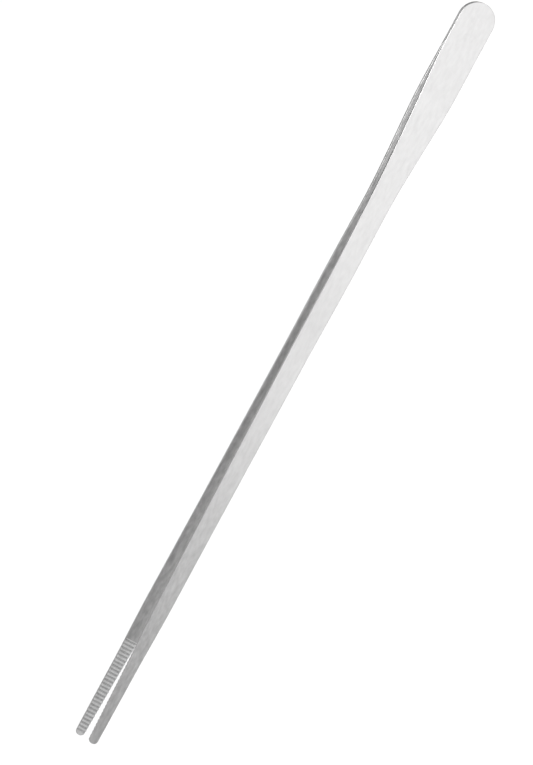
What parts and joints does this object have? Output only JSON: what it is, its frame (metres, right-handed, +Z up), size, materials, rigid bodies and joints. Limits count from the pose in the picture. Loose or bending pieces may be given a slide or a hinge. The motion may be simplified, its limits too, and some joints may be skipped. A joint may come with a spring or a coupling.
{
  "type": "aquascaping tweezers",
  "caption": "Long straight stainless steel planting tweezers with a wide welded grip, slender tapering shanks and cross-grooved jaws that close when squeezed.",
  "frame": {"origin": "below the middle of the length and of the opening, level with the lowest edges of the grip", "axes": "+X runs along the tweezers from the tips to the head, Y is the way the blades open, with the front blade on -Y, and +Z runs up across the width of the blades, so the tweezers lie on their long edges"},
  "size_m": [0.27, 0.0156, 0.0125],
  "materials": {
    "blade_steel": "fine brushed stainless steel",
    "weld_steel": "fused stainless steel of a spot weld"
  },
  "bodies": {
    "head": {"front_grip": "blade_steel", "rear_grip": "blade_steel", "front_spring": "blade_steel", "rear_spring": "blade_steel", "weld_spots": "weld_steel"},
    "front_blade": {"front_arm": "blade_steel"},
    "rear_blade": {"rear_arm": "blade_steel"}
  },
  "joints": [
    {"name": "front_squeeze", "type": "hinge", "parent": "head", "child": "front_blade", "pos_m": [0.06, -0.0025, 0.00625], "axis": [0, 0, -1], "range_deg": [0, 1.97], "stiffness_Nm_per_rad": 4, "deforming": ["front_spring"]},
    {"name": "rear_squeeze", "type": "hinge", "parent": "head", "child": "rear_blade", "pos_m": [0.06, 0.0025, 0.00625], "axis": [0, 0, 1], "range_deg": [0, 1.97], "stiffness_Nm_per_rad": 4, "deforming": ["rear_spring"]}
  ],
  "couplings": [
    {"joint": "rear_squeeze", "follows": "front_squeeze", "ratio": 1}
  ]
}
